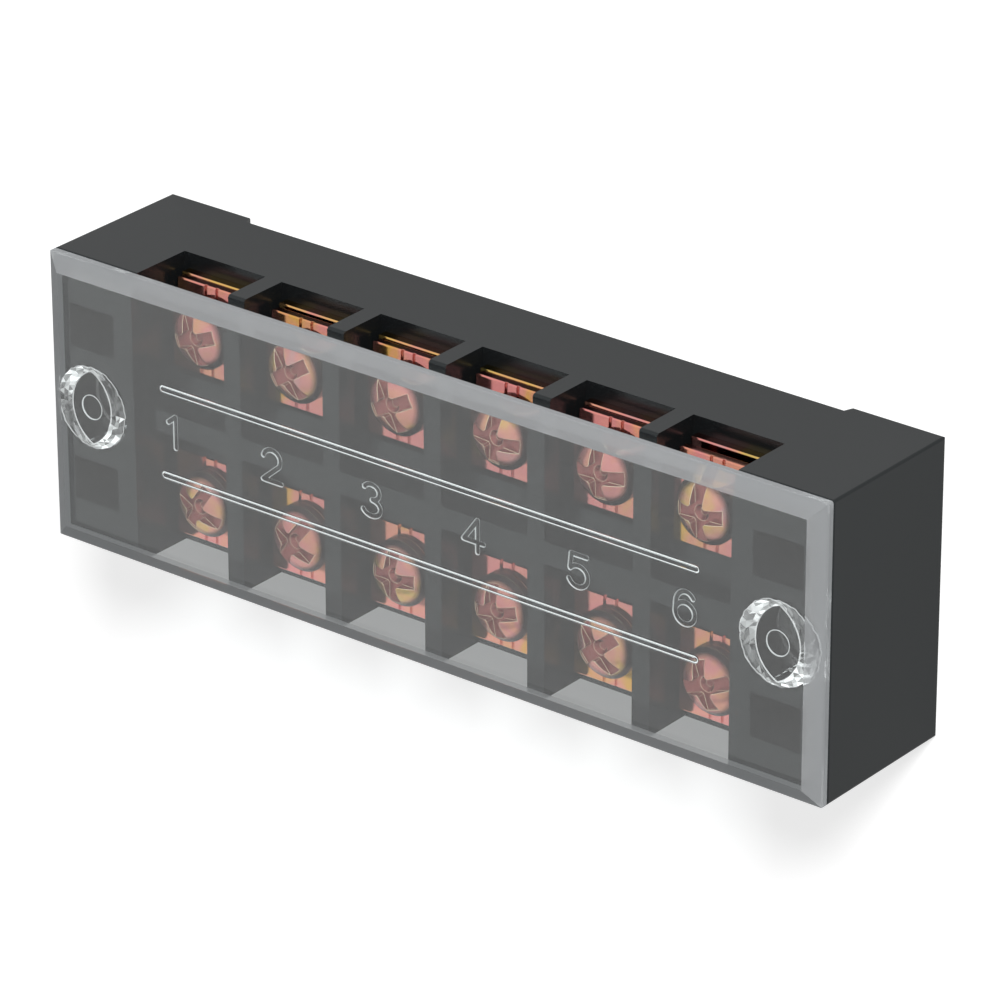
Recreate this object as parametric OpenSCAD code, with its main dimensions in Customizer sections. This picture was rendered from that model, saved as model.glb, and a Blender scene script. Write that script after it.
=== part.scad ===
// Covered barrier terminal strip. Two rows of clamp screws stand in moulded bays, one
// plate bridges each bay from row to row, and a clear cover is held by two split posts.
// Millimetres. X runs along the strip, Y across it and Z up through the cover.
// The origin is the middle of the mounting surface, under the two end feet.

/* [Strip] */
// Number of terminals along the strip
poles = 6; // [2:1:11]
// Distance from one terminal to the next
pitch = 14; // [13:0.1:20]
// Thickness of the barrier walls between terminals
barrier_t = 2.3; // [1.6:0.1:3]
// Length of each end block
end_block = 12; // [11.6:0.1:18]
// Width of the strip, across both rows of screws
strip_w = 34.8; // [34:0.1:46]
// Distance from the long sides of the strip to the screw axes
row_inset = 7.2; // [6.8:0.1:7.6]

/* [Housing heights] */
// Height of the end blocks above the mounting surface
body_h = 19.8; // [19.4:0.1:26]
// How far the barrier walls and the middle rib stay below the end blocks
barrier_drop = 1.8; // [0.4:0.1:3]
// Height of the bay floors, where the wires come in
floor_h = 11.7; // [10.5:0.1:12.1]
// Height of the shelf that bridges each contact plate, above the bay floor
shelf_rise = 2.8; // [2.2:0.1:3.5]
// How far the middle of the underside stays above the two end feet
foot_h = 1.3; // [0.6:0.1:1.8]

/* [Housing details] */
// Width of the middle rib
rib_w = 2.6; // [2:0.1:6]
// Width of the shelf under the middle rib
shelf_w = 9.2; // [7:0.1:9.6]
// How much the shelf slopes down from the rib to its edges
shelf_slope = 0.5; // [0.1:0.1:0.8]
// Rounding of the upper edges of the end blocks
top_edge_r = 0.3; // [0.1:0.1:1]
// Rounding of the lower edges of the end feet
bottom_edge_r = 0.3; // [0.1:0.1:2]
// Rounding of the strip's upright corners
corner_r = 0.3; // [0.1:0.1:2]
// Rounding of the upper outer corners of the barrier walls
barrier_r = 0.4; // [0.1:0.1:2]
// Walls between and around the coring pockets of the underside
coring_wall = 1.6; // [1.2:0.1:2.4]
// Floor left between the coring pockets and the screw tails
coring_roof = 1.2; // [0.8:0.1:2]

/* [Mounting] */
// Distance from each end of the strip to its mounting hole
mount_inset = 5.85; // [5.75:0.05:6.1]
// Diameter of the mounting holes
mount_hole_d = 4.5; // [3.4:0.1:5.5]
// Height of the seat for the mounting screw's head
mount_seat_h = 8; // [4:0.1:9.5]
// Distance from each end of the strip to the middle of its lightening pockets
pocket_inset = 6.1; // [5:0.1:7]
// Length of the lightening pockets, along the strip
pocket_l = 6.4; // [3:0.1:7]
// Width of the lightening pockets, across the strip
pocket_w = 5.2; // [3:0.1:5.6]
// Depth of the lightening pockets
pocket_depth = 8; // [3:0.1:12]
// How far the pockets lie nearer the middle of the strip than the screws
pocket_shift = 0.9; // [0:0.1:1.5]

/* [Contact plates] */
// Thickness of the contact plates
plate_t = 1.2; // [0.8:0.1:1.5]
// Distance from the long sides of the strip to the ends of the plates
plate_inset = 1.9; // [1:0.1:2.4]
// Gap between a contact plate and the barrier walls beside it
plate_gap = 0.5; // [0.2:0.05:0.9]
// Gap between a contact plate and the shelf above it
plate_slot_gap = 0.1; // [0.05:0.05:0.3]

/* [Square washers] */
// Thickness of the square washers
washer_t = 1; // [0.6:0.1:1.1]
// Gap between a square washer and the barrier walls beside it
washer_gap = 0.85; // [0.4:0.05:1]
// Gap between a square washer and the shelf behind it
washer_shelf_gap = 0.4; // [0.2:0.05:0.8]
// Rounding of the corners of the square washers
washer_r = 0.4; // [0.2:0.1:1.5]
// Distance between the two grooves of a square washer
groove_spacing = 1.6; // [1:0.1:3]
// Width of the grooves of a square washer
groove_w = 0.35; // [0.15:0.05:0.5]
// Depth of the grooves of a square washer
groove_depth = 0.25; // [0.1:0.05:0.4]

/* [Clamp screws] */
// Thread diameter of the clamp screws
screw_d = 4; // [3:0.1:4.5]
// Length of the clamp screws under the head
screw_l = 8; // [6:0.1:8.5]
// Pitch of the screw thread
thread_pitch = 0.7; // [0.5:0.05:0.8]
// Diameter of the screw heads
head_d = 7.8; // [7:0.1:8.4]
// Height of the screw heads
head_h = 2.9; // [2.2:0.1:3]
// Height of the upright rim of the screw heads
head_rim = 0.9; // [0.5:0.1:1.4]
// Length of the short arm of the cross recess; the long one is a slot right across
recess_span = 5.6; // [4:0.1:6.4]
// Width of each arm of the cross recess
recess_arm = 1.6; // [0.8:0.1:1.8]
// Depth of the cross recess
recess_depth = 1.2; // [0.8:0.1:1.6]

/* [Cover] */
// Gap between the cover plate and the end blocks that it lies on
cover_gap = 0.05; // [0.03:0.01:0.1]
// Thickness of the cover plate
cover_t = 1.85; // [1.5:0.05:3]
// Height of the upright lip round the cover plate
cover_lip = 0.8; // [0.5:0.1:1.2]
// How far the sloped border of the cover reaches inwards
cover_slope = 1.95; // [1:0.05:3]
// Length of the split posts
post_l = 6.5; // [4:0.1:8]
// Outer diameter of the split posts
post_d = 9.7; // [8.4:0.1:9.8]
// Wall thickness in the middle of each half of the split posts
post_wall = 2; // [1:0.1:2.4]
// Wall thickness at the slot, where the halves taper off
post_edge = 0.4; // [0.3:0.1:1]
// Width of the slot through each split post
post_slot = 1.15; // [0.6:0.05:2]
// How far the bead stands out round each split post
post_bead = 0.14; // [0.05:0.01:0.2]
// Gap between the bead and the wall of its well
post_gap = 0.06; // [0.03:0.01:0.09]
// Diameter of the moulding mark inside each split post
mark_d = 3; // [2:0.1:3.4]
// Distance of the two moulded outlines from the middle of the cover
outline_y = 5.2; // [4:0.1:8]
// Width of the two moulded outlines under the cover
outline_w = 0.9; // [0.7:0.1:2]
// How far the moulded outlines run past the first and the last screw
outline_reach = 1.9; // [0:0.1:4]
// Depth of the moulded outlines and marks in the cover's underside
mark_depth = 0.25; // [0.1:0.05:0.5]

/* [Hidden] */
$fn = 64;
ROWS = ["a", "b"];

// How far a cut runs past the face that it opens
cut = 1;
// Radial gaps round the screw: in its thread, in the washer and below the plate
thread_gap = 0.05;
washer_hole_gap = 0.2;
tail_gap = 0.6;
// Chamfer at the tail of a screw
tail_chamfer = 0.4;
// Room below the tail of a clamped screw
tail_room = 0.9;
// Chamfer round the upper face of the punched plates and washers
punch_chamfer = 0.15;
// Radius of the rounded middle of the cross recess, and the pit that centres the driver
recess_middle_r = 1.3;
recess_pit_r = 0.9;
recess_pit_depth = 0.5;
// Length of the ramps on either side of a post's bead, and height of the bead between them
post_ramp = 0.5;
bead_h = 0.8;
// Softening of the upper edge of the cover's lip
lip_chamfer = 0.16;
// Draft of the two steps between the end feet and the underside
foot_draft = 0.5;

// How many turns each screw stands open in rows a and b
turns_open_a = [0.3, 1, 0.6, 0.3, 0.5, 2.1];
turns_open_b = [0.2, 0.5, 0.4, 0.2, 0.3, 0.2];
// The angle that each screw's slot is turned to in rows a and b
cross_angle_a = [107, 122, 115, 176, 3, 93];
cross_angle_b = [153, 58, 90, 100, 130, 20];

strip_l = 2 * end_block + poles * pitch - barrier_t;
barrier_h = body_h - barrier_drop;
bay_w = pitch - barrier_t;
row_y = strip_w / 2 - row_inset;
mount_x = strip_l / 2 - mount_inset;
pocket_x = strip_l / 2 - pocket_inset;
post_r = post_d / 2;
bead_r = post_r + post_bead;
well_r = bead_r + post_gap;

plate_w = bay_w - 2 * plate_gap;
plate_l = strip_w - 2 * plate_inset;
plate_top = floor_h + plate_t;
washer_w = bay_w - 2 * washer_gap;
washer_l = 2 * (row_y - shelf_w / 2 - washer_shelf_gap);
head_seat_h = plate_top + washer_t;
tail_hole_floor = head_seat_h - screw_l - tail_room;

// Place of terminal i along the strip
function bay_x(i) = (i - (poles + 1) / 2) * pitch;
// Item i of a list, which starts again where the list ends
function item(list, i) = list[(i - 1) % len(list)];
// Place of a row of screws across the strip
function screw_y(row) = row == "a" ? row_y : -row_y;
// How far a screw and its washer stand above their clamped place
function open_h(row, i) = item(row == "a" ? turns_open_a : turns_open_b, i) * thread_pitch;
// The angle that a screw is turned to
function cross_angle(row, i) = item(row == "a" ? cross_angle_a : cross_angle_b, i);

// Draws its children, and draws them again mirrored left to right
module on_both_sides() {
    children();
    mirror([1, 0, 0]) children();
}

// A rectangle that stands on the X axis, with its lower and upper corners rounded
module upright_profile(w, h, r_low, r_high) {
    translate([r_low - w / 2, 0]) square([w - 2 * r_low, h - r_high]);
    translate([-w / 2, r_low]) square([w, h - r_low - r_high]);
    translate([r_high - w / 2, r_low]) square([w - 2 * r_high, h - r_low]);
    on_both_sides() {
        translate([w / 2 - r_low, r_low]) circle(r_low);
        translate([w / 2 - r_high, h - r_high]) circle(r_high);
    }
}

// A rectangle round the origin with rounded corners
module rounded_rectangle(l, w, r) {
    square([l - 2 * r, w], center = true);
    square([l, w - 2 * r], center = true);
    for (x = [-1, 1], y = [-1, 1])
        translate([x * (l / 2 - r), y * (w / 2 - r)]) circle(r);
}

// A lens round the origin: the area that two equal circles share
module lens(w, h) {
    offset_x = (h * h - w * w) / (4 * w);
    intersection() {
        translate([offset_x, 0]) circle(offset_x + w / 2);
        translate([-offset_x, 0]) circle(offset_x + w / 2);
    }
}

// A narrow bar round the origin with half-round ends
module race_track(l, w) {
    square([l - w, w], center = true);
    on_both_sides() translate([(l - w) / 2, 0]) circle(d = w);
}

// Extrudes a profile of the strip's width and height along the strip
module along_strip(length) {
    rotate([90, 0, 90]) translate([0, 0, -length / 2]) linear_extrude(length) children();
}

// Extrudes a profile of the strip's length and height across the strip
module across_strip(width) {
    rotate([90, 0, 0]) translate([0, 0, -width / 2]) linear_extrude(width) children();
}

// Repeats its children at the middle of every bay
module at_every_bay() {
    for (i = [1:poles]) translate([bay_x(i), 0, 0]) children();
}

// The outside of the housing, before anything is cut into it
module housing_blank() {
    intersection() {
        along_strip(strip_l) upright_profile(strip_w, body_h, bottom_edge_r, top_edge_r);
        across_strip(strip_w) upright_profile(strip_l, body_h, bottom_edge_r, top_edge_r);
        linear_extrude(body_h) rounded_rectangle(strip_l, strip_w, corner_r);
    }
}

// The open space of one bay: both screw compartments, on either side of the rib and of
// the shelf below it
module bay_space() {
    side = strip_w / 2 + cut;
    top = body_h + cut;
    shelf_h = floor_h + shelf_rise;
    along_strip(bay_w)
        on_both_sides()
            polygon([
                [rib_w / 2, top],
                [rib_w / 2, shelf_h + shelf_slope],
                [shelf_w / 2, shelf_h],
                [shelf_w / 2, floor_h],
                [side, floor_h],
                [side, top]
            ]);
}

// The slot through the shelf that a contact plate slides into
module plate_slot() {
    slot_w = shelf_w + 2 * cut;
    translate([-bay_w / 2, -slot_w / 2, floor_h]) cube([bay_w, slot_w, plate_t + plate_slot_gap]);
}

// The blind holes in a bay's floor that take the tails of its two screws
module screw_tail_holes() {
    for (row = ROWS)
        translate([0, screw_y(row), tail_hole_floor])
            cylinder(r = screw_d / 2 + tail_gap, h = floor_h + cut - tail_hole_floor);
}

// The two coring pockets under a bay
module coring_pockets() {
    pocket_top = tail_hole_floor - coring_roof;
    size = [pitch - 2 * coring_wall, strip_w / 2 - 2 * coring_wall, pocket_top + cut];
    for (side = [-1, 1])
        translate([-size.x / 2, side * strip_w / 4 - size.y / 2, -cut]) cube(size);
}

// What is taken off above the barrier walls and the rib, with the walls' corners rounded
module barrier_relief() {
    side = strip_w / 2;
    along_strip(strip_l - 2 * end_block)
        on_both_sides() {
            translate([-cut, barrier_h]) square([side + 2 * cut, barrier_drop + cut]);
            difference() {
                translate([side - barrier_r, barrier_h - barrier_r]) square(barrier_r + cut);
                translate([side - barrier_r, barrier_h - barrier_r]) circle(barrier_r);
            }
        }
}

// What is taken off under the strip between its two feet
module foot_relief() {
    half = strip_l / 2 - end_block;
    low = half + foot_draft * (1 + cut / foot_h);
    across_strip(strip_w + 2 * cut)
        polygon([[-low, -cut], [low, -cut], [half, foot_h], [-half, foot_h]]);
}

// A mounting hole, with the well over it that takes the mounting screw and a split post
module mounting_well() {
    translate([0, 0, -cut]) cylinder(d = mount_hole_d, h = mount_seat_h + 2 * cut);
    translate([0, 0, mount_seat_h]) cylinder(r = well_r, h = body_h + cut - mount_seat_h);
}

// The two lightening pockets of one end block, in line with the two rows of screws
module lightening_pockets() {
    floor_z = body_h - pocket_depth;
    pocket_y = row_y - pocket_shift;
    for (side = [-1, 1])
        translate([-pocket_l / 2, side * pocket_y - pocket_w / 2, floor_z])
            cube([pocket_l, pocket_w, pocket_depth + cut]);
}

// The moulded housing
module housing() {
    color([0.09, 0.095, 0.1])
        difference() {
            housing_blank();
            barrier_relief();
            foot_relief();
            at_every_bay() {
                bay_space();
                plate_slot();
                screw_tail_holes();
                coring_pockets();
            }
            on_both_sides() {
                translate([mount_x, 0, 0]) mounting_well();
                translate([pocket_x, 0, 0]) lightening_pockets();
            }
        }
}

// A slab's section that stands on the X axis, with both its upper corners chamfered
function chamfered_section(w, h) =
    let (half = w / 2, low = h - punch_chamfer, in = half - punch_chamfer)
    [[-half, 0], [half, 0], [half, low], [in, h], [-in, h], [-half, low]];

// A punched blank: a slab with rounded corners and a chamfer round its upper face
module punched_blank(w, l, t, r) {
    intersection() {
        along_strip(w) polygon(chamfered_section(l, t));
        across_strip(l) polygon(chamfered_section(w, t));
        linear_extrude(t) rounded_rectangle(w, l, r);
    }
}

// The plate of bay i, tapped at both ends, which joins its two screws
module contact_plate(i) {
    color([0.83, 0.62, 0.45])
        translate([bay_x(i), 0, floor_h])
            difference() {
                punched_blank(plate_w, plate_l, plate_t, punch_chamfer);
                for (row = ROWS)
                    translate([0, screw_y(row), -cut]) cylinder(d = screw_d, h = plate_t + 2 * cut);
            }
}

// The square washer of a screw, with two grooves that run as the wire does
module washer(row, i) {
    color([0.85, 0.6, 0.5])
        translate([bay_x(i), screw_y(row), plate_top + open_h(row, i)])
            difference() {
                punched_blank(washer_w, washer_l, washer_t, washer_r);
                translate([0, 0, -cut]) cylinder(r = screw_d / 2 + washer_hole_gap, h = washer_t + 2 * cut);
                on_both_sides()
                    translate([(groove_spacing - groove_w) / 2, -washer_l / 2 - cut, washer_t - groove_depth])
                        cube([groove_w, washer_l + 2 * cut, groove_depth + cut]);
            }
}

// The head of a clamp screw: an upright rim with a dome on it
module screw_head() {
    dome_h = head_h - head_rim;
    dome_r = (pow(head_d / 2, 2) + pow(dome_h, 2)) / (2 * dome_h);
    intersection() {
        cylinder(d = head_d, h = head_h);
        translate([0, 0, head_h - dome_r]) sphere(dome_r);
    }
}

// The shank of a clamp screw, which reaches up into the head
module screw_shank() {
    shank_r = screw_d / 2 - thread_gap;
    translate([0, 0, tail_chamfer - screw_l]) cylinder(r = shank_r, h = screw_l - tail_chamfer + head_rim);
    translate([0, 0, -screw_l]) cylinder(r1 = shank_r - tail_chamfer, r2 = shank_r, h = tail_chamfer);
}

// The recess of a head: a slot right across, a shorter one across that, and a middle pit
module cross_recess() {
    translate([0, 0, head_h - recess_depth]) {
        linear_extrude(recess_depth + cut) {
            square([head_d + 2 * cut, recess_arm], center = true);
            square([recess_arm, recess_span], center = true);
            circle(recess_middle_r);
        }
        translate([0, 0, -recess_pit_depth])
            cylinder(r1 = recess_pit_r / 2, r2 = recess_pit_r, h = recess_pit_depth);
    }
}

// A clamp screw, standing in its thread
module screw(row, i) {
    color([0.88, 0.66, 0.6])
        translate([bay_x(i), screw_y(row), head_seat_h + open_h(row, i)])
            rotate([0, 0, cross_angle(row, i)])
                difference() {
                    union() {
                        screw_head();
                        screw_shank();
                    }
                    cross_recess();
                }
}

// The section of the cover plate: an upright lip with a softened edge, then the slope
function cover_section(w) =
    let (half = w / 2)
    [
        [-half, 0],
        [half, 0],
        [half, cover_lip - lip_chamfer],
        [half - lip_chamfer, cover_lip],
        [half - cover_slope, cover_t],
        [cover_slope - half, cover_t],
        [lip_chamfer - half, cover_lip],
        [-half, cover_lip - lip_chamfer]
    ];

// The cover plate, with its sloped borders mitred at the corners
module cover_plate() {
    intersection() {
        along_strip(strip_l) polygon(cover_section(strip_w));
        across_strip(strip_w) polygon(cover_section(strip_l));
        linear_extrude(cover_t) rounded_rectangle(strip_l, strip_w, corner_r);
    }
}

// A split post with a bead round its tip, hanging under the cover plate: two halves that
// are thick in the middle and taper off towards the slot
module split_post() {
    difference() {
        rotate_extrude()
            polygon([
                [0, 0],
                [0, -post_l],
                [post_r - post_ramp, -post_l],
                [bead_r, post_ramp - post_l],
                [bead_r, post_ramp + bead_h - post_l],
                [post_r, 2 * post_ramp + bead_h - post_l],
                [post_r, 0]
            ]);
        translate([0, 0, -post_l - cut])
            linear_extrude(post_l + cut) lens(post_d - 2 * post_wall, post_d - 2 * post_edge);
        translate([-post_slot / 2, -post_d, -post_l - cut]) cube([post_slot, 2 * post_d, post_l + cut]);
    }
}

// A moulded outline: the shallow groove round a long race track
module moulded_outline() {
    outline_l = (poles - 1) * pitch + 2 * outline_reach;
    groove = outline_w / 4;
    translate([0, 0, -cut])
        linear_extrude(mark_depth + cut)
            difference() {
                race_track(outline_l, outline_w);
                race_track(outline_l - 2 * groove, outline_w - 2 * groove);
            }
}

// The clear cover, moulded in one piece with its two split posts
module cover() {
    color([0.8, 0.83, 0.85, 0.35])
        translate([0, 0, body_h + cover_gap]) {
            difference() {
                cover_plate();
                for (side = [-1, 1])
                    translate([0, side * outline_y, 0]) moulded_outline();
                on_both_sides()
                    translate([mount_x, 0, -cut]) cylinder(d = mark_d, h = mark_depth + cut);
            }
            on_both_sides()
                translate([mount_x, 0, 0]) split_post();
        }
}

housing();
cover();
for (i = [1:poles]) {
    contact_plate(i);
    for (row = ROWS) {
        washer(row, i);
        screw(row, i);
    }
}
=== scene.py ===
"""Visual model of a covered barrier terminal strip.

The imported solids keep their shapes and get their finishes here: a black moulded housing, a clear
moulded cover, and screws, washers and plates with an iridescent passivated plating. Numbers and
fine mouldings under the cover are added as pieces of their own. All lengths are in metres.
"""
import logging
import math
from collections.abc import Mapping, Sequence
from dataclasses import dataclass, field
from enum import Enum

import bpy
import numpy as np
from mathutils import Matrix, Vector

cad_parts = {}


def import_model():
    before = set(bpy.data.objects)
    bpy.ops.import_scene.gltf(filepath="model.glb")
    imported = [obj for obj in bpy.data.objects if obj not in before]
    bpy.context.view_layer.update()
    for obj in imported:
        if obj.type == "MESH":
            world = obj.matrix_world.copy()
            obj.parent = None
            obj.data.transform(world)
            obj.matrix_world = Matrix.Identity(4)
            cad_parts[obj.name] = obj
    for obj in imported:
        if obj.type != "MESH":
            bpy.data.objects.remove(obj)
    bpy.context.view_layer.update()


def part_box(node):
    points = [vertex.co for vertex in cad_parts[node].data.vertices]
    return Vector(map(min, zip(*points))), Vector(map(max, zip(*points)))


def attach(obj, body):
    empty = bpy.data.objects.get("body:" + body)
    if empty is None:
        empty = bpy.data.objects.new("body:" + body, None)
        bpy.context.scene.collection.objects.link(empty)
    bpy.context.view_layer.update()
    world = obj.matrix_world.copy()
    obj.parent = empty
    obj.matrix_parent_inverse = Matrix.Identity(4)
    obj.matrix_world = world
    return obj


LOG = logging.getLogger("terminal_strip")
MM = 0.001
# The two numbers of the usual sine hash, which turns whole numbers into uneven shares
HASH_SCALE = 43758.5
HASH_STEP = 12.9898
# Distance from terminal to terminal, and from the strip's middle line to a row of screws
PITCH = 14.0 * MM
ROW = 10.2 * MM
# Height of the numbers' box, whose width is 1
NUMERAL_HEIGHT = 1.3

Point = tuple[float, float]
Links = Mapping[str | int, object]


def linear(hex_code: str) -> tuple[float, float, float, float]:
    """Turns an sRGB hex colour into linear light.

    Args:
        hex_code: the colour as six hex digits, such as "1F2224".

    Returns:
        Red, green and blue in linear light, and an alpha of 1.
    """
    shares = [int(hex_code[i : i + 2], 16) / 255 for i in (0, 2, 4)]
    light = [s / 12.92 if s <= 0.04045 else ((s + 0.055) / 1.055) ** 2.4 for s in shares]
    return (*light, 1.0)


def add_node(
    tree: bpy.types.NodeTree,
    kind: str,
    settings: Mapping[str, object] | None = None,
    inputs: Links | None = None,
) -> bpy.types.Node:
    """Adds a node, sets its properties, and fills or links its input sockets.

    Args:
        tree: the node tree that gets the node.
        kind: the node's type name.
        settings: the node's own properties by name.
        inputs: values or output sockets, by the input's name or number.

    Returns:
        The new node.
    """
    node = tree.nodes.new(kind)
    for name, value in (settings or {}).items():
        setattr(node, name, value)
    for key, value in (inputs or {}).items():
        if isinstance(value, bpy.types.NodeSocket):
            tree.links.new(value, node.inputs[key])
        else:
            node.inputs[key].default_value = value
    return node


def empty_material(name: str) -> tuple[bpy.types.Material, bpy.types.NodeTree]:
    """Makes a material with an empty node tree.

    Args:
        name: the material's name.

    Returns:
        The material and its node tree.
    """
    material = bpy.data.materials.new(name)
    material.use_nodes = True
    material.node_tree.nodes.clear()
    return material, material.node_tree


def set_surface(tree: bpy.types.NodeTree, shader: bpy.types.NodeSocket) -> None:
    """Makes a shader the surface of its node tree."""
    add_node(tree, "ShaderNodeOutputMaterial", inputs={"Surface": shader})


def dress(node: str, material: bpy.types.Material) -> None:
    """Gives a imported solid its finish, in every material slot that it has.

    Args:
        node: the solid's name.
        material: the finish.
    """
    for slot in bpy.data.objects[node].material_slots:
        slot.material = material
    LOG.info("dressed %s with %s", node, material.name)


def make_piece(
    name: str,
    vertices: np.ndarray,
    faces: np.ndarray,
    material: bpy.types.Material,
    body: str,
) -> bpy.types.Object:
    """Makes a mesh object from arrays and lets it ride on a body.

    Args:
        name: the piece's name.
        vertices: corner points in metres, one row each.
        faces: corner numbers of the quads, one row each.
        material: the finish.
        body: the body that carries the piece.

    Returns:
        The new object.
    """
    mesh = bpy.data.meshes.new(name)
    mesh.from_pydata(vertices.tolist(), [], faces.tolist())
    mesh.materials.append(material)
    mesh.update()
    piece = bpy.data.objects.new(name, mesh)
    bpy.context.scene.collection.objects.link(piece)
    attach(piece, body)
    LOG.info("made %s with %d faces", name, len(faces))
    return piece


def grid_faces(rows: int, columns: int, wrap_rows: bool, wrap_columns: bool) -> np.ndarray:
    """Numbers the quads of a grid of points stored row by row.

    Args:
        rows: number of rows of points.
        columns: number of points in a row.
        wrap_rows: whether the last row joins the first.
        wrap_columns: whether the last column joins the first.

    Returns:
        The corner numbers of each quad, turned anticlockwise as rows and columns grow.
    """
    row = np.arange(rows if wrap_rows else rows - 1)[:, None]
    column = np.arange(columns if wrap_columns else columns - 1)[None, :]
    next_row = (row + 1) % rows
    next_column = (column + 1) % columns
    corners = [
        row * columns + column,
        next_row * columns + column,
        next_row * columns + next_column,
        row * columns + next_column,
    ]
    return np.stack([c.ravel() for c in corners], axis=1)


# ---------------------------------------------------------------------------------------------
# Finishes


@dataclass(frozen=True)
class MouldedThermoset:
    """Black phenolic, compression moulded: a satin skin with a faint grain and flow marks.

    To the eye it is a deep grey-black that turns paler where it mirrors the sky. The filler's grain
    is finer in truth, and is drawn at the size given so that it shows.
    """

    name: str = "black_moulded_phenolic"
    colour: str = "0F1011"
    pale_colour: str = "151718"
    roughness: float = 0.22
    roughness_spread: float = 0.08
    specular_level: float = 0.38
    sheen_colour: str = "F2FDFF"
    grain_mm: float = 0.35
    flow_mm: float = 16.0
    grain_depth_mm: float = 0.0003

    def material(self) -> bpy.types.Material:
        """Builds the finish: two close blacks mixed by slow flow marks, over a fine grain."""
        material, tree = empty_material(self.name)
        place = add_node(tree, "ShaderNodeTexCoord").outputs["Object"]
        flow = add_node(
            tree,
            "ShaderNodeTexNoise",
            inputs={"Vector": place, "Scale": 1 / (self.flow_mm * MM), "Detail": 3.0, "Roughness": 0.55},
        ).outputs["Fac"]
        grain = add_node(
            tree,
            "ShaderNodeTexNoise",
            inputs={"Vector": place, "Scale": 1 / (self.grain_mm * MM), "Detail": 2.0},
        ).outputs["Fac"]
        colour = add_node(
            tree,
            "ShaderNodeMix",
            {"data_type": "RGBA"},
            {"Factor": flow, 6: linear(self.colour), 7: linear(self.pale_colour)},
        ).outputs[2]
        roughness = add_node(
            tree,
            "ShaderNodeMapRange",
            inputs={
                "Value": flow,
                "From Min": 0.3,
                "From Max": 0.7,
                "To Min": self.roughness - self.roughness_spread / 2,
                "To Max": self.roughness + self.roughness_spread / 2,
            },
        ).outputs["Result"]
        bump = add_node(
            tree,
            "ShaderNodeBump",
            inputs={"Height": grain, "Distance": self.grain_depth_mm * MM, "Strength": 1.0},
        ).outputs["Normal"]
        skin = add_node(
            tree,
            "ShaderNodeBsdfPrincipled",
            inputs={
                "Base Color": colour,
                "Roughness": roughness,
                "Specular IOR Level": self.specular_level,
                "Specular Tint": linear(self.sheen_colour),
                "Normal": bump,
            },
        )
        set_surface(tree, skin.outputs["BSDF"])
        return material


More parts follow.
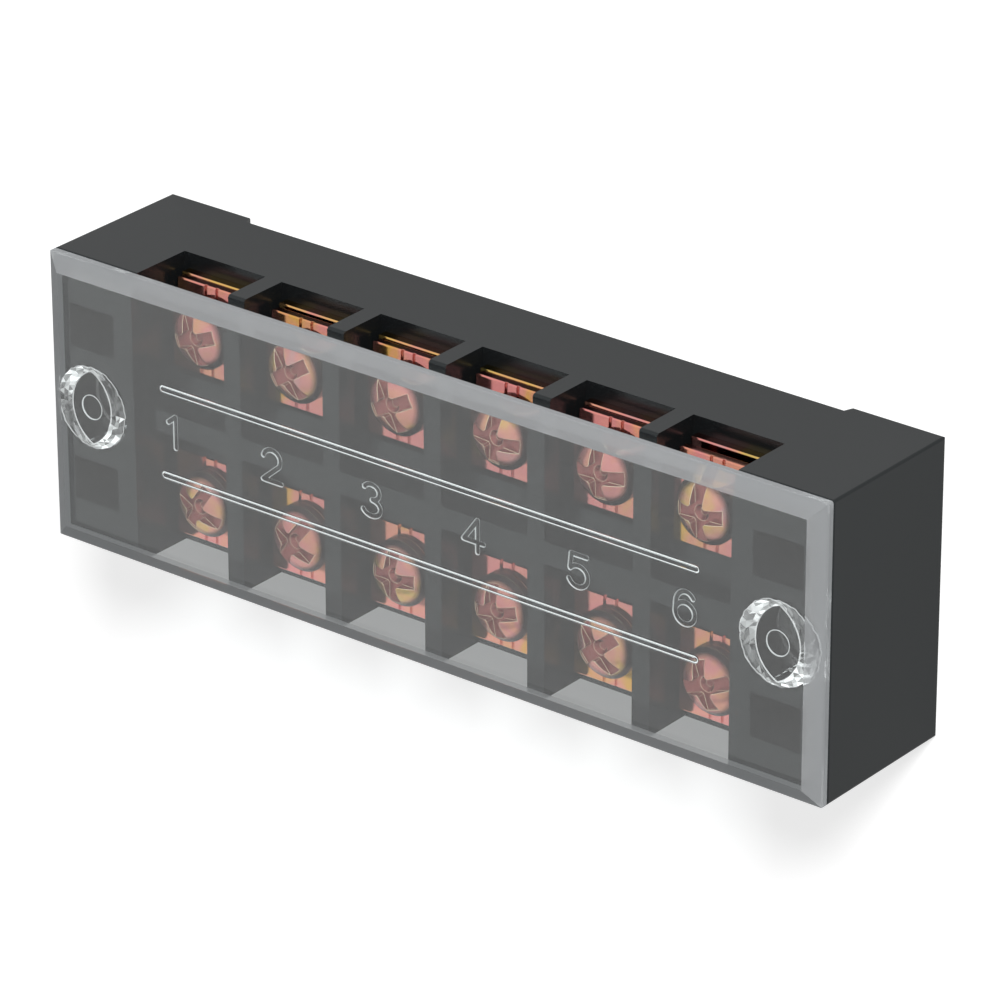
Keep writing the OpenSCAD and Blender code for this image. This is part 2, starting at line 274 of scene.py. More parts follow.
@dataclass(frozen=True)
class ClearPolycarbonate:
    """Clear polycarbonate, injection moulded: it bends light, and its sloped rim is frosted.

    To the eye it is a clear window with a thin veil, in a milky frame as wide as the slope.
    """

    name: str = "clear_moulded_polycarbonate"
    tint: str = "F2F5F5"
    frost: str = "B4B6B8"
    ior: float = 1.58
    roughness: float = 0.02
    plate_mm: float = 1.9
    rim_mm: float = 1.95
    rim_blur_mm: float = 0.04
    rim_share: float = 0.6
    haze_share: float = 0.005
    through_share: float = 0.5

    def margin(self, tree: bpy.types.NodeTree, place: bpy.types.Node, corner: Vector) -> bpy.types.NodeSocket:
        """Gives the distance to the cover's nearest side.

        It is the smaller of half the length less |x|, and half the width less |y|.

        Args:
            tree: the finish's node tree.
            place: the node that gives the place's X, Y and Z.
            corner: the cover's highest corner.

        Returns:
            The distance in metres.
        """
        margins = []
        for axis, half in (("X", corner[0]), ("Y", corner[1])):
            away = add_node(tree, "ShaderNodeMath", {"operation": "ABSOLUTE"}, {0: place.outputs[axis]})
            inward = add_node(
                tree,
                "ShaderNodeMath",
                {"operation": "SUBTRACT"},
                {0: float(half), 1: away.outputs[0]},
            )
            margins.append(inward.outputs[0])
        nearest = add_node(tree, "ShaderNodeMath", {"operation": "MINIMUM"}, {0: margins[0], 1: margins[1]})
        return nearest.outputs[0]

    def frosting(self, tree: bpy.types.NodeTree) -> bpy.types.NodeSocket:
        """Gives how frosted a place is: the rim's share near the plate's sides, a thin haze inside them.

        Args:
            tree: the finish's node tree.

        Returns:
            The share, which is 0 below the plate.
        """
        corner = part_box("cover")[1]
        place = add_node(tree, "ShaderNodeTexCoord").outputs["Object"]
        parts = add_node(tree, "ShaderNodeSeparateXYZ", inputs={0: place})
        rim = add_node(
            tree,
            "ShaderNodeMapRange",
            inputs={
                "Value": self.margin(tree, parts, corner),
                "From Min": (self.rim_mm - self.rim_blur_mm) * MM,
                "From Max": (self.rim_mm + self.rim_blur_mm) * MM,
                "To Min": self.rim_share,
                "To Max": self.haze_share,
            },
        ).outputs["Result"]
        above = add_node(
            tree,
            "ShaderNodeMath",
            {"operation": "GREATER_THAN"},
            {0: parts.outputs["Z"], 1: float(corner[2]) - self.plate_mm * MM},
        ).outputs[0]
        return add_node(tree, "ShaderNodeMath", {"operation": "MULTIPLY"}, {0: rim, 1: above}).outputs[0]

    def material(self) -> bpy.types.Material:
        """Builds the finish: glass that lamps pass through, mixed with frost along the rim."""
        material, tree = empty_material(self.name)
        glass = add_node(
            tree,
            "ShaderNodeBsdfPrincipled",
            inputs={
                "Base Color": linear(self.tint),
                "Roughness": self.roughness,
                "IOR": self.ior,
                "Transmission Weight": 1.0,
            },
        ).outputs["BSDF"]
        matt = add_node(tree, "ShaderNodeBsdfDiffuse", inputs={"Color": linear(self.frost)}).outputs[0]
        glow = add_node(tree, "ShaderNodeBsdfTranslucent", inputs={"Color": linear(self.frost)}).outputs[0]
        frost = add_node(
            tree, "ShaderNodeMixShader", inputs={0: self.through_share, 1: matt, 2: glow}
        ).outputs[0]
        body = add_node(
            tree, "ShaderNodeMixShader", inputs={0: self.frosting(tree), 1: glass, 2: frost}
        ).outputs[0]
        clear = add_node(tree, "ShaderNodeBsdfTransparent", inputs={"Color": linear(self.tint)}).outputs[0]
        lamp_ray = add_node(tree, "ShaderNodeLightPath").outputs["Is Shadow Ray"]
        surface = add_node(tree, "ShaderNodeMixShader", inputs={0: lamp_ray, 1: body, 2: clear}).outputs[0]
        set_surface(tree, surface)
        return material


@dataclass(frozen=True)
class FrostedEdge:
    """The frosted edges of moulded lines and numbers in a clear plate, which catch the light.

    To the eye they are fine white lines. The frost also has a painted glow: it gives off light of its own.
    """

    name: str = "frosted_edge_with_painted_glow"
    colour: str = "F6F8F8"
    roughness: float = 0.6
    # Painted light: how strongly the frost glows of itself.
    painted_glow_strength: float = 0.3

    def material(self) -> bpy.types.Material:
        """Builds the finish: white frost with a painted glow where the piece's edge attribute is 1, clear
        where it is 0.
        """
        material, tree = empty_material(self.name)
        edge = add_node(tree, "ShaderNodeAttribute", {"attribute_name": "edge"}).outputs["Fac"]
        frost = add_node(
            tree,
            "ShaderNodeBsdfPrincipled",
            inputs={
                "Base Color": linear(self.colour),
                "Roughness": self.roughness,
                # Painted glow: the frost gives off light though it is no lamp.
                "Emission Color": linear(self.colour),
                "Emission Strength": self.painted_glow_strength,
            },
        ).outputs["BSDF"]
        clear = add_node(tree, "ShaderNodeBsdfTransparent").outputs[0]
        surface = add_node(tree, "ShaderNodeMixShader", inputs={0: edge, 1: clear, 2: frost}).outputs[0]
        set_surface(tree, surface)
        return material


@dataclass(frozen=True)
class PassivatedPlating:
    """Zinc plating with a chromate film on metal: a soft shine in slow patches of interference colour.

    To the eye it is pink, gold and violet metal. On the screws, shade is painted into the recess and onto the
    head's shoulder as darker hues, and a highlight is painted along the recess's edges as pale, near-white
    metal. The rounding of the edges is as wide as it needs to be to show.
    """

    name: str
    hues: tuple[str, ...]
    roughness: float = 0.2
    patch_mm: float = 4.0
    metal_share: float = 1.0
    seed: float = 0.0
    # Painted shade: the hue given to a screw's recess, to its level and upright faces and to what lies near
    # its axis.
    recess_shade_hue: str = ""
    edge_mm: float = 0.11
    shaded_pit_mm: float = 0.95
    # Painted shade: a dark ring on the shoulder of a screw head, from the first distance to the axis to the
    # second.
    shoulder_shade_mm: tuple[float, float] = (2.9, 3.5)
    shoulder_shade_hue: str = "3A2828"
    # Painted highlight: the near-white colour along the edges of a screw's recess.
    glint_hue: str = "FFF0CC"
    hue_span: tuple[float, float] = (0.3, 0.72)
    level_tilt: float = 0.9995
    upright_tilt: float = 0.3
    glint_span: tuple[float, float] = (0.985, 0.93)

    def material(self) -> bpy.types.Material:
        """Builds the finish: a metal whose colour wanders through the hues in slow patches."""
        material, tree = empty_material(self.name)
        place = add_node(tree, "ShaderNodeTexCoord").outputs["Object"]
        shift = (self.seed, self.seed, self.seed)
        shifted = add_node(
            tree, "ShaderNodeVectorMath", {"operation": "ADD"}, {0: place, 1: shift}
        ).outputs[0]
        patches = add_node(
            tree,
            "ShaderNodeTexNoise",
            inputs={
                "Vector": shifted,
                "Scale": 1 / (self.patch_mm * MM),
                "Detail": 2.5,
                "Roughness": 0.5,
                "Distortion": 0.6,
            },
        ).outputs["Fac"]
        ramp = add_node(tree, "ShaderNodeValToRGB", inputs={"Fac": patches})
        stops = ramp.color_ramp.elements
        places = np.linspace(*self.hue_span, len(self.hues))
        while len(stops) < len(self.hues):
            stops.new(0.5)
        for stop, spot, hue in zip(stops, places, self.hues, strict=True):
            stop.position = float(spot)
            stop.color = linear(hue)
        rounded = add_node(
            tree, "ShaderNodeBevel", {"samples": 8}, {"Radius": self.edge_mm * MM}
        ).outputs["Normal"]
        colour = ramp.outputs["Color"]
        # Painted shade in the recess and on the shoulder of a screw head, and a painted highlight along the
        # recess's edges.
        if self.recess_shade_hue:
            colour = self.paint_recess_and_shoulder_shade(tree, colour)
            colour = self.paint_edge_glints(tree, colour, rounded)
        metal = add_node(
            tree,
            "ShaderNodeBsdfPrincipled",
            inputs={
                "Base Color": colour,
                "Metallic": self.metal_share,
                "Roughness": self.roughness,
                "Normal": rounded,
            },
        )
        set_surface(tree, metal.outputs["BSDF"])
        return material

    def axis_distance(self, tree: bpy.types.NodeTree) -> bpy.types.NodeSocket:
        """Gives the distance from the axis of the screw that a place belongs to, in metres.

        The screws stand a pitch apart, half a pitch from the middle of the strip, in two rows, so
        the offset is (PITCH (frac(x / PITCH) - 1/2), |y| - ROW).

        Args:
            tree: the finish's node tree.

        Returns:
            The distance.
        """
        place = add_node(tree, "ShaderNodeTexCoord").outputs["Object"]
        parts = add_node(tree, "ShaderNodeSeparateXYZ", inputs={0: place})
        bays = add_node(tree, "ShaderNodeMath", {"operation": "DIVIDE"}, {0: parts.outputs["X"], 1: PITCH})
        share = add_node(tree, "ShaderNodeMath", {"operation": "FRACT"}, {0: bays.outputs[0]}).outputs[0]
        along = add_node(
            tree, "ShaderNodeMath", {"operation": "MULTIPLY_ADD"}, {0: share, 1: PITCH, 2: -PITCH / 2}
        ).outputs[0]
        away = add_node(tree, "ShaderNodeMath", {"operation": "ABSOLUTE"}, {0: parts.outputs["Y"]}).outputs[0]
        across = add_node(tree, "ShaderNodeMath", {"operation": "SUBTRACT"}, {0: away, 1: ROW}).outputs[0]
        offset = add_node(tree, "ShaderNodeCombineXYZ", inputs={"X": along, "Y": across}).outputs[0]
        return add_node(tree, "ShaderNodeVectorMath", {"operation": "LENGTH"}, {0: offset}).outputs["Value"]

    def paint_edge_glints(
        self, tree: bpy.types.NodeTree, colour: bpy.types.NodeSocket, rounded: bpy.types.NodeSocket
    ) -> bpy.types.NodeSocket:
        """Paints a highlight: a pale, near-white colour along the edges of a screw's recess, where the
        rounded direction of the surface turns from the plain one.

        Args:
            tree: the finish's node tree.
            colour: the colour away from the edges.
            rounded: the direction of the surface with its edges rounded.

        Returns:
            The colour with its painted edge highlights.
        """
        plain = add_node(tree, "ShaderNodeNewGeometry").outputs["Normal"]
        likeness = add_node(
            tree, "ShaderNodeVectorMath", {"operation": "DOT_PRODUCT"}, {0: rounded, 1: plain}
        )
        # Painted highlight: where the rounded direction turns from the plain one, the colour goes near white.
        glint_share = add_node(
            tree,
            "ShaderNodeMapRange",
            inputs={
                "Value": likeness.outputs["Value"],
                "From Min": self.glint_span[0],
                "From Max": self.glint_span[1],
            },
        ).outputs["Result"]
        return add_node(
            tree,
            "ShaderNodeMix",
            {"data_type": "RGBA"},
            {"Factor": glint_share, 6: colour, 7: linear(self.glint_hue)},
        ).outputs[2]

    def paint_recess_and_shoulder_shade(self, tree: bpy.types.NodeTree, colour: bpy.types.NodeSocket) -> bpy.types.NodeSocket:
        """Paints shade into a screw's recess and onto the shoulder of its head, as darker hues.

        The recess is what lies level or upright, and what is near the axis. The shoulder starts at
        its first distance from the axis and is full at its second.

        Args:
            tree: the finish's node tree.
            colour: the colour of the domed faces.

        Returns:
            The colour for every face.
        """
        normal = add_node(tree, "ShaderNodeTexCoord").outputs["Normal"]
        tilt = add_node(tree, "ShaderNodeSeparateXYZ", inputs={0: normal}).outputs["Z"]
        distance = self.axis_distance(tree)
        marks = (
            ("LESS_THAN", distance, self.shaded_pit_mm * MM),
            ("GREATER_THAN", tilt, self.level_tilt),
            ("LESS_THAN", tilt, self.upright_tilt),
        )
        recess_shade = 0.0
        for operation, value, bound in marks:
            mark = add_node(tree, "ShaderNodeMath", {"operation": operation}, {0: value, 1: bound}).outputs[0]
            recess_shade = add_node(tree, "ShaderNodeMath", {"operation": "MAXIMUM"}, {0: recess_shade, 1: mark}).outputs[0]
        # Painted reflection of the dark bay walls: the head's shoulder turns deep brown-black towards its
        # edge.
        shoulder = add_node(
            tree,
            "ShaderNodeMapRange",
            inputs={
                "Value": distance,
                "From Min": self.shoulder_shade_mm[0] * MM,
                "From Max": self.shoulder_shade_mm[1] * MM,
            },
        ).outputs["Result"]
        # Painted shade: the recess and the shoulder take their darker hues.
        for share, hue in ((recess_shade, self.recess_shade_hue), (shoulder, self.shoulder_shade_hue)):
            colour = add_node(
                tree,
                "ShaderNodeMix",
                {"data_type": "RGBA"},
                {"Factor": share, 6: colour, 7: linear(hue)},
            ).outputs[2]
        return colour


# ---------------------------------------------------------------------------------------------
# Strokes and numbers


def arc(centre: Point, radius: Point, start: float, end: float, count: int = 24) -> np.ndarray:
    """Points along an elliptic arc: centre + (rx cos a, ry sin a) for a from start to end.

    Args:
        centre: middle of the ellipse.
        radius: half-axes along x and y.
        start: first angle in degrees.
        end: last angle in degrees.
        count: number of points.

    Returns:
        The points, one row each.
    """
    angle = np.radians(np.linspace(start, end, count))
    return np.stack([centre[0] + radius[0] * np.cos(angle), centre[1] + radius[1] * np.sin(angle)], axis=1)


def line(*points: Point) -> np.ndarray:
    """The corner points of a run of straight strokes."""
    return np.array(points, dtype=float)


def distance_to_path(place: np.ndarray, path: np.ndarray) -> np.ndarray:
    """Shortest distance from each place to a run of straight segments.

    For a segment from a to b, the nearest point is a + t (b - a), with t the projection of the
    place on the segment, held between 0 and 1.

    Args:
        place: places, one row each.
        path: corner points of the run.

    Returns:
        One distance for each place.
    """
    start, run = path[:-1], np.diff(path, axis=0)
    offset = place[:, None, :] - start[None]
    share = np.clip((offset * run).sum(2) / np.maximum((run**2).sum(1), 1e-12), 0, 1)
    return np.linalg.norm(offset - share[..., None] * run, axis=2).min(1)


class Numeral(Enum):
    """Plain single-stroke numbers in a box 1 wide and 1.3 high, round its middle."""

    ONE = 1
    TWO = 2
    THREE = 3
    FOUR = 4
    FIVE = 5
    SIX = 6

    def strokes(self) -> list[np.ndarray]:
        """The centre lines of the number's strokes."""
        shapes = {
            Numeral.ONE: [line((-0.3, 0.36), (0.06, 0.65), (0.06, -0.65))],
            Numeral.TWO: [
                np.vstack([arc((0, 0.25), (0.42, 0.4), 165, -35), line((-0.44, -0.65), (0.46, -0.65))])
            ],
            Numeral.THREE: [
                np.vstack([arc((0, 0.33), (0.38, 0.32), 150, -80), arc((0, -0.32), (0.44, 0.33), 85, -155)])
            ],
            Numeral.FOUR: [line((0.2, -0.65), (0.2, 0.65), (-0.46, -0.25), (0.48, -0.25))],
            Numeral.FIVE: [
                line((0.4, 0.65), (-0.3, 0.65)),
                np.vstack([line((-0.3, 0.65), (-0.36, 0.08)), arc((0, -0.22), (0.45, 0.43), 142, -155)]),
            ],
            Numeral.SIX: [
                np.vstack(
                    [arc((0.02, 0.1), (0.44, 0.55), 40, 180), arc((0, -0.22), (0.44, 0.43), 180, 540, 48)]
                )
            ],
        }
        return shapes[self]


@dataclass
class NumeralRelief:
    """A number that stands a little proud of the cover's underside, with frosted edges."""

    numeral: Numeral
    centre: Point
    base: float
    height: float = 4.3 * MM
    stroke: float = 0.58 * MM
    relief: float = 0.14 * MM
    edge: float = 0.075 * MM
    frost: float = 0.6
    step: float = 0.05 * MM
    clearance: float = 0.01 * MM

    def build(self, material: bpy.types.Material) -> bpy.types.Object:
        """Builds the relief as a height field over a square grid.

        The depth under the cover is relief * s, where s falls smoothly from 1 to 0 as the distance
        to the centre line passes half the stroke, over the width of the edge. Only the squares near
        the strokes are kept.

        Args:
            material: the finish of the number.

        Returns:
            The new piece.
        """
        scale = (self.height - self.stroke) / NUMERAL_HEIGHT
        half = np.array([scale * 0.5 + self.stroke, self.height / 2 + self.edge])
        xs = np.arange(-half[0], half[0] + self.step, self.step)
        ys = np.arange(-half[1], half[1] + self.step, self.step)
        flat = np.stack(np.meshgrid(xs, ys, indexing="ij"), axis=2).reshape(-1, 2)
        away = np.min([distance_to_path(flat, path * scale) for path in self.numeral.strokes()], axis=0)
        rise = np.clip((self.stroke / 2 + self.edge / 2 - away) / self.edge, 0, 1)
        rise = rise * rise * (3 - 2 * rise)
        depth = self.base - self.clearance - self.relief * rise
        vertices = np.column_stack([flat[:, 0] + self.centre[0], flat[:, 1] + self.centre[1], depth])
        faces = grid_faces(len(xs), len(ys), False, False)[:, ::-1]
        faces = faces[(away[faces] < self.stroke / 2 + self.edge).all(1)]
        used, faces = np.unique(faces, return_inverse=True)
        faces = faces.reshape(-1, 4)
        piece = make_piece(
            f"number_{self.numeral.value}", vertices[used], faces, material, "cover"
        )
        frost = np.clip(1 - np.abs(away[used] - self.stroke / 2) / self.edge, 0, 1)
        store_edge(piece, self.frost * frost)
        return piece


def store_edge(piece: bpy.types.Object, values: np.ndarray, domain: str = "POINT") -> None:
    """Stores how frosted each vertex or face of a piece is, as the attribute that the finish reads."""
    layer = piece.data.attributes.new("edge", "FLOAT", domain)
    layer.data.foreach_set("value", values.astype(np.float32))


def lens(width: float, length: float, corner_points: int = 24) -> np.ndarray:
    """The closed outline of the area that two equal circles share, round the origin.

    The circles' middles lie at (+-c, 0) with c = (length^2 - width^2) / (4 width), and their radius
    is c + width / 2.

    Args:
        width: size along x.
        length: size along y, from tip to tip.
        corner_points: number of points on each arc.

    Returns:
        The points of the outline, anticlockwise.
    """
    middle = (length**2 - width**2) / (4 * width)
    radius = middle + width / 2
    half_angle = math.degrees(math.asin(length / 2 / radius))
    right = arc((-middle, 0), (radius, radius), -half_angle, half_angle, corner_points)
    left = arc((middle, 0), (radius, radius), 180 - half_angle, 180 + half_angle, corner_points)
    return np.vstack([right[:-1], left[:-1]])


def race_track(length: float, width: float, corner_points: int = 16) -> np.ndarray:
    """A closed path of two straight runs joined by half circles, anticlockwise round the origin.

    Args:
        length: overall length along x.
        width: overall width along y.
        corner_points: number of points on each half circle.

    Returns:
        The points of the path, without the first one repeated at the end.
    """
    radius = width / 2
    reach = length / 2 - radius
    right = arc((reach, 0), (radius, radius), -90, 90, corner_points)
    left = arc((-reach, 0), (radius, radius), 90, 270, corner_points)
    return np.vstack([right, left])


@dataclass
class EdgeLine:
    """A thin frosted line that lies in the cover's underside along a closed path."""

    name: str
    path: np.ndarray
    centre: Point
    low: float
    width: float = 0.13 * MM
    height: float = 0.12 * MM
    frost: float = 1.0

    def build(self, material: bpy.types.Material) -> bpy.types.Object:
        """Carries a small rectangle round the path.

        Each path point gives four corners, half the width to either side along the path's normal,
        at the low and the high level.

        Args:
            material: the finish of the line.

        Returns:
            The new piece.
        """
        run = np.roll(self.path, -1, axis=0) - np.roll(self.path, 1, axis=0)
        run /= np.linalg.norm(run, axis=1)[:, None]
        normal = np.column_stack([run[:, 1], -run[:, 0]]) * self.width / 2
        middle = self.path + np.array(self.centre)
        section = ((1, 0.0), (1, self.height), (-1, self.height), (-1, 0.0))
        rings = [
            np.column_stack([middle + side * normal, np.full(len(middle), self.low + up)])
            for side, up in section
        ]
        vertices = np.stack(rings, axis=1).reshape(-1, 3)
        faces = grid_faces(len(middle), 4, True, True)
        piece = make_piece(self.name, vertices, faces, material, "cover")
        store_edge(piece, np.full(len(vertices), self.frost))
        return piece


@dataclass
class PostFacets:
    """Painted highlights for the broken light in the clear root of a split post: flat, frosted facets round
    its hollow, whitest at two angles.
    """

    name: str
    centre: Point
    low: float
    outer: float
    hollow_width: float
    hollow_length: float
    columns: int = 34
    rows: int = 3
    height: float = 0.5 * MM
    jitter: float = 0.35
    dim: float = 0.2
    bright: float = 1.0
    # Painted highlights: the angles round the post where the facets are whitest.
    painted_highlight_angles: tuple[float, float] = (-58.0, 128.0)
    spread: float = 34.0
    frost_span: tuple[float, float] = (0.25, 1.35)
    seed: float = 1.0

    def wander(self, count: int, step: float) -> np.ndarray:
        """Gives uneven numbers from 0 to 1.

        They are the fractions of |HASH_SCALE sin(HASH_STEP k + seed)|, for k = step, 2 step and on.

        Args:
            count: how many numbers.
            step: what k grows by.

        Returns:
            The numbers.
        """
        wave = np.sin(HASH_STEP * step * np.arange(1, count + 1) + self.seed)
        return np.modf(np.abs(HASH_SCALE * wave))[0]

    def hollow_reach(self, angle: np.ndarray) -> np.ndarray:
        """How far the lens-shaped hollow reaches from the middle at each angle.

        The hollow is shared by two circles with middles at (+-c, 0) and radius R. A ray at angle a
        leaves it at -c |cos a| + sqrt(R^2 - c^2 sin^2 a).

        Args:
            angle: angles in radians.

        Returns:
            One distance for each angle.
        """
        middle = (self.hollow_length**2 - self.hollow_width**2) / (4 * self.hollow_width)
        radius = middle + self.hollow_width / 2
        return np.sqrt(radius**2 - (middle * np.sin(angle)) ** 2) - middle * np.abs(np.cos(angle))

    def build(self, material: bpy.types.Material) -> bpy.types.Object:
        """Spreads uneven facets between the hollow and the outside of the post.

        The grid's point at angle a and share s lies at r = hollow + s (outer - hollow), moved by the jitter,
        and is lifted unevenly. A facet's frost, a painted highlight, falls off as exp(-(da / spread)^2) on
        either side of the two highlight angles, and varies from facet to facet.

        Args:
            material: the finish of the facets.

        Returns:
            The new piece.
        """
        count = self.columns * (self.rows + 1)
        share = np.repeat(np.linspace(0, 1, self.rows + 1), self.columns)
        inner = (share > 0) & (share < 1)
        angle = np.tile(np.arange(self.columns), self.rows + 1) * 2 * math.pi / self.columns
        angle = angle + (self.wander(count, 1.0) - 0.5) * self.jitter * 4 * math.pi / self.columns
        share = share + inner * (self.wander(count, 2.0) - 0.5) * self.jitter / self.rows
        reach = self.hollow_reach(angle)
        radius = reach + share * (self.outer - reach)
        level = self.low + self.height * self.wander(count, 3.0)
        vertices = np.column_stack(
            [self.centre[0] + radius * np.cos(angle), self.centre[1] + radius * np.sin(angle), level]
        )
        quads = grid_faces(self.rows + 1, self.columns, False, True)
        facets = np.vstack([quads[:, [0, 1, 2]], quads[:, [0, 2, 3]]])
        turn = np.degrees(angle[facets].mean(1))
        # Painted highlights: the facets are frosted whitest near the two highlight angles.
        away = np.array([np.abs((turn - peak + 180) % 360 - 180) for peak in self.painted_highlight_angles]).min(0)
        glow = self.dim + (self.bright - self.dim) * np.exp(-((away / self.spread) ** 2))
        piece = make_piece(self.name, vertices, facets, material, "cover")
        least, most = self.frost_span
        store_edge(piece, glow * (least + (most - least) * self.wander(len(facets), 5.0)), "FACE")
        return piece


# ---------------------------------------------------------------------------------------------
# Sub-assemblies


@dataclass
class Housing:
    """The black moulding that carries everything."""

    finish: MouldedThermoset = field(default_factory=MouldedThermoset)

    def build(self) -> None:
        """Dresses the housing."""
        dress("housing", self.finish.material())


@dataclass
class Cover:
    """The clear cover, its moulded lines and its numbers."""

    finish: ClearPolycarbonate = field(default_factory=ClearPolycarbonate)
    line_finish: FrostedEdge = field(default_factory=FrostedEdge)
    outline_y: float = 5.2 * MM
    outline_length: float = 73.8 * MM
    outline_width: float = 0.9 * MM
    groove: float = 0.225 * MM
    ring_radius: float = 1.45 * MM
    post_radius: float = 4.85 * MM
    post_wall: float = 2.0 * MM
    post_edge: float = 0.4 * MM
    mount_inset: float = 5.85 * MM
    post_length: float = 6.5 * MM
    number_y: float = 0.3 * MM
    outline_lift: float = 0.02 * MM
    line_lift: float = 0.1 * MM
    facet_lift: float = 0.15 * MM
    ring_line: Point = (0.1 * MM, 0.4)
    rim_line: Point = (0.12 * MM, 0.25)
    bore_line: Point = (0.14 * MM, 0.35)
    rim_wave: float = 0.04 * MM
    ring_points: int = 96

    def build(self) -> None:
        """Dresses the cover and adds the lines, facets and numbers under it."""
        dress("cover", self.finish.material())
        frost = self.line_finish.material()
        low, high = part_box("cover")
        underside = float(low[2]) + self.post_length
        track = race_track(self.outline_length - self.groove, self.outline_width - self.groove)
        for name, side in (("outline_a", 1), ("outline_b", -1)):
            EdgeLine(name, track, (0.0, side * self.outline_y), underside + self.outline_lift).build(frost)
        for name, side in (("left", -1), ("right", 1)):
            centre = (side * (float(high[0]) - self.mount_inset), 0.0)
            self.build_post(name, centre, underside, 3.0 + side, frost)
        for numeral in Numeral:
            spot = (numeral.value - (len(Numeral) + 1) / 2) * PITCH
            NumeralRelief(numeral, (spot, self.number_y), underside).build(frost)

    def build_post(
        self, name: str, centre: Point, underside: float, seed: float, frost: bpy.types.Material
    ) -> None:
        """Adds the facets, frosted as painted highlights, and the lines that show where a split post joins
        the plate.

        The rim is a circle whose radius wanders by rim_wave (sin 7a + sin(17a + 1) + sin 29a), the
        ring is a plain circle, and the bore is the outline of the lens-shaped hollow.

        Args:
            name: which post it is.
            centre: the post's middle.
            underside: level of the plate's underside.
            seed: what the facets' uneven numbers start from.
            frost: the finish of the pieces.
        """
        angle = np.linspace(0, 2 * math.pi, self.ring_points + 1)[:-1]
        circle = np.column_stack([np.cos(angle), np.sin(angle)])
        waves = np.sin(7 * angle) + np.sin(17 * angle + 1) + np.sin(29 * angle)
        hollow = (2 * (self.post_radius - self.post_wall), 2 * (self.post_radius - self.post_edge))
        PostFacets(
            f"post_facets_{name}", centre, underside + self.facet_lift, self.post_radius, *hollow, seed=seed
        ).build(frost)
        paths = (
            ("ring", self.ring_radius * circle, self.ring_line),
            ("rim", (self.post_radius + self.rim_wave * waves)[:, None] * circle, self.rim_line),
            ("bore", lens(*hollow), self.bore_line),
        )
        for kind, path, (width, share) in paths:
            line_level = underside + self.line_lift
            EdgeLine(f"post_{kind}_{name}", path, centre, line_level, width, frost=share).build(frost)


@dataclass
class Terminals:
    """The plates, washers and screws of all bays."""

    poles: int = 6
    pink: tuple[str, ...] = ("D0A34A", "D8967A", "DA8F86", "D68886", "DF9A78")
    # Painted shade: the darker hue of the screws' recesses.
    recess_shade: str = "9C5550"
    gold: tuple[str, ...] = ("B8AA66", "D9AE66", "DA9A80", "D68C86", "C89A96")
    screw_metal: float = 0.68

    def build(self) -> None:
        """Dresses every plate, washer and screw, with two platings that alternate."""
        screw_skins = [
            PassivatedPlating(
                "pink_passivated_screw",
                self.pink,
                roughness=0.26,
                patch_mm=4.0,
                metal_share=self.screw_metal,
                recess_shade_hue=self.recess_shade,
            ).material(),
            PassivatedPlating(
                "gold_passivated_screw",
                self.gold,
                roughness=0.24,
                patch_mm=4.5,
                metal_share=self.screw_metal,
                seed=0.37,
                recess_shade_hue=self.recess_shade,
            ).material(),
        ]
        washer_skin = PassivatedPlating(
            "pink_passivated_washer", self.pink, roughness=0.1, patch_mm=6.0, seed=0.71
        ).material()
        plate_skin = PassivatedPlating(
            "gold_passivated_plate", self.gold, roughness=0.1, patch_mm=7.0, seed=0.53
        ).material()
        for i in range(1, self.poles + 1):
            dress(f"contact_plate_{i}", plate_skin)
            for row in "ab":
                dress(f"washer_{row}{i}", washer_skin)
                dress(f"screw_{row}{i}", screw_skins[(i + (row == "a")) % 2])


# ---------------------------------------------------------------------------------------------
# Studio


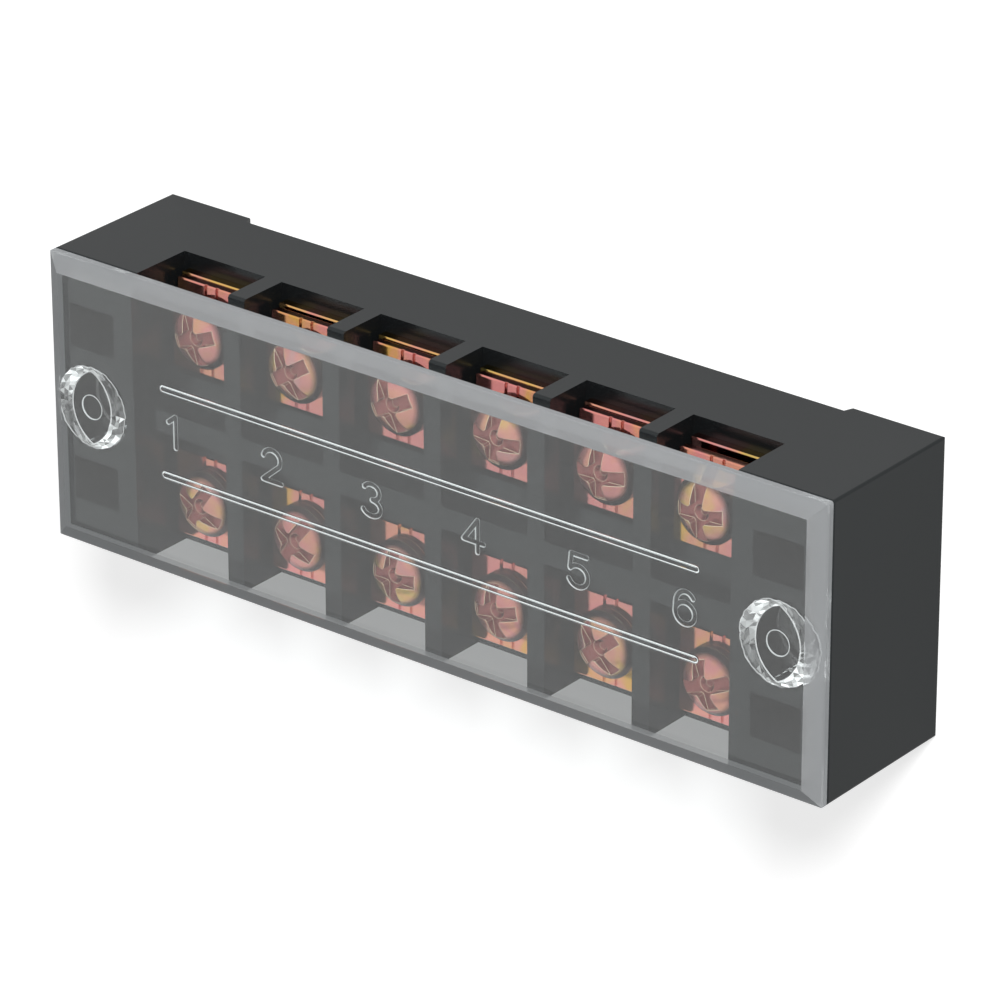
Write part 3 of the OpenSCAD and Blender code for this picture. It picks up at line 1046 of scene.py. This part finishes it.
@dataclass
class Studio:
    """The camera, the lamps, the world and the floor."""

    lens_mm: float = 221.0
    camera_place: Vector = field(default_factory=lambda: Vector((0.37403, 0.28255, 0.47728)))
    right: Vector = field(default_factory=lambda: Vector((0.78305573, -0.0021832, -0.62194771)))
    up: Vector = field(default_factory=lambda: Vector((-0.26521608, 0.90334493, -0.33708807)))
    sky_light: float = 0.25
    key_share: float = 0.85
    key_direction: tuple[float, float, float] = (0.46, 0.7, 0.56)
    key_distance: float = 1.2
    key_size: float = 0.45
    floor_size: float = 4.0
    floor_drop: float = 0.05 * MM
    floor_paint: float = 0.5
    seen_glow: float = 0.7
    through_glow: float = 0.16
    gloss_glow: float = 0.07

    def build(self) -> None:
        """Builds the whole studio."""
        self.add_camera()
        self.add_world()
        self.add_key()
        self.add_floor()
        bpy.context.scene.view_settings.view_transform = "Standard"

    def add_camera(self) -> None:
        """Adds the camera, turned by its right and up directions."""
        back = self.right.cross(self.up)
        turn = Matrix((self.right, self.up, back)).transposed()
        data = bpy.data.cameras.new("camera")
        data.lens = self.lens_mm
        data.sensor_width = 36.0
        data.clip_start, data.clip_end = 0.05, 20.0
        camera = bpy.data.objects.new("camera", data)
        camera.matrix_world = Matrix.Translation(self.camera_place) @ turn.to_4x4()
        bpy.context.scene.collection.objects.link(camera)
        bpy.context.scene.camera = camera

    def white_rays(self, tree: bpy.types.NodeTree) -> bpy.types.NodeSocket:
        """Marks what the camera sees direct, in a gloss or through glass, and no light on matt faces.

        Args:
            tree: the world's node tree.

        Returns:
            1 for such rays that have met no matt face, and 0 for the rest.
        """
        path = add_node(tree, "ShaderNodeLightPath")
        seen = path.outputs["Is Camera Ray"]
        for ray in ("Is Glossy Ray", "Is Transmission Ray"):
            seen = add_node(
                tree, "ShaderNodeMath", {"operation": "MAXIMUM"}, {0: seen, 1: path.outputs[ray]}
            ).outputs[0]
        direct = add_node(
            tree,
            "ShaderNodeMath",
            {"operation": "SUBTRACT", "use_clamp": True},
            {0: 1.0, 1: path.outputs["Diffuse Depth"]},
        ).outputs[0]
        return add_node(tree, "ShaderNodeMath", {"operation": "MULTIPLY"}, {0: seen, 1: direct}).outputs[0]

    def add_world(self) -> None:
        """Adds a world that looks white and lights the object as a dimmer, even sky."""
        world = bpy.data.worlds.new("studio")
        world.use_nodes = True
        tree = world.node_tree
        tree.nodes.clear()
        light = add_node(
            tree, "ShaderNodeBackground", inputs={"Color": linear("FFFFFF"), "Strength": self.sky_light}
        ).outputs[0]
        white = add_node(
            tree, "ShaderNodeBackground", inputs={"Color": linear("FFFFFF"), "Strength": 1.0}
        ).outputs[0]
        mixed = add_node(
            tree, "ShaderNodeMixShader", inputs={0: self.white_rays(tree), 1: light, 2: white}
        ).outputs[0]
        add_node(tree, "ShaderNodeOutputWorld", inputs={"Surface": mixed})
        bpy.context.scene.world = world

    def add_key(self) -> None:
        """Adds the key lamp, low on the side of row a so that the shadow falls behind row b."""
        direction = Vector(self.key_direction).normalized()
        data = bpy.data.lights.new("key", "AREA")
        data.shape = "DISK"
        data.size = self.key_size
        level = self.key_share * math.pi / direction.z
        data.energy = level * math.pi * self.key_distance**2
        lamp = bpy.data.objects.new("key", data)
        lamp.visible_glossy = False
        lamp.visible_transmission = False
        lamp.location = direction * self.key_distance
        lamp.rotation_euler = direction.to_track_quat("Z", "Y").to_euler()
        bpy.context.scene.collection.objects.link(lamp)

    def add_floor(self) -> None:
        """Adds the white floor, which glows a little and keeps the object's shadow."""
        half = self.floor_size / 2
        square = ((-half, -half), (half, -half), (half, half), (-half, half))
        corners = [(x, y, -self.floor_drop) for x, y in square]
        mesh = bpy.data.meshes.new("floor")
        mesh.from_pydata(corners, [], [(0, 1, 2, 3)])
        material, tree = empty_material("white_floor")
        grey = (self.floor_paint, self.floor_paint, self.floor_paint, 1.0)
        paint = add_node(tree, "ShaderNodeBsdfDiffuse", inputs={"Color": grey}).outputs[0]
        path = add_node(tree, "ShaderNodeLightPath")
        rays = (
            ("Is Camera Ray", self.seen_glow),
            ("Is Transmission Ray", self.through_glow),
            ("Is Glossy Ray", self.gloss_glow),
        )
        strength = 0.0
        for ray, glow_share in rays:
            strength = add_node(
                tree,
                "ShaderNodeMath",
                {"operation": "MULTIPLY_ADD"},
                {0: path.outputs[ray], 1: glow_share, 2: strength},
            ).outputs[0]
        glow = add_node(
            tree, "ShaderNodeEmission", inputs={"Color": linear("FFFFFF"), "Strength": strength}
        ).outputs[0]
        set_surface(tree, add_node(tree, "ShaderNodeAddShader", inputs={0: paint, 1: glow}).outputs[0])
        mesh.materials.append(material)
        floor = bpy.data.objects.new("floor", mesh)
        bpy.context.scene.collection.objects.link(floor)


def main() -> None:
    """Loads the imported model, dresses it, adds its fine pieces and sets the studio."""
    logging.basicConfig(level=logging.INFO, format="%(name)s: %(message)s")
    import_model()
    Studio().build()
    Housing().build()
    Cover().build()
    Terminals().build()


if __name__ == "__main__":
    main()
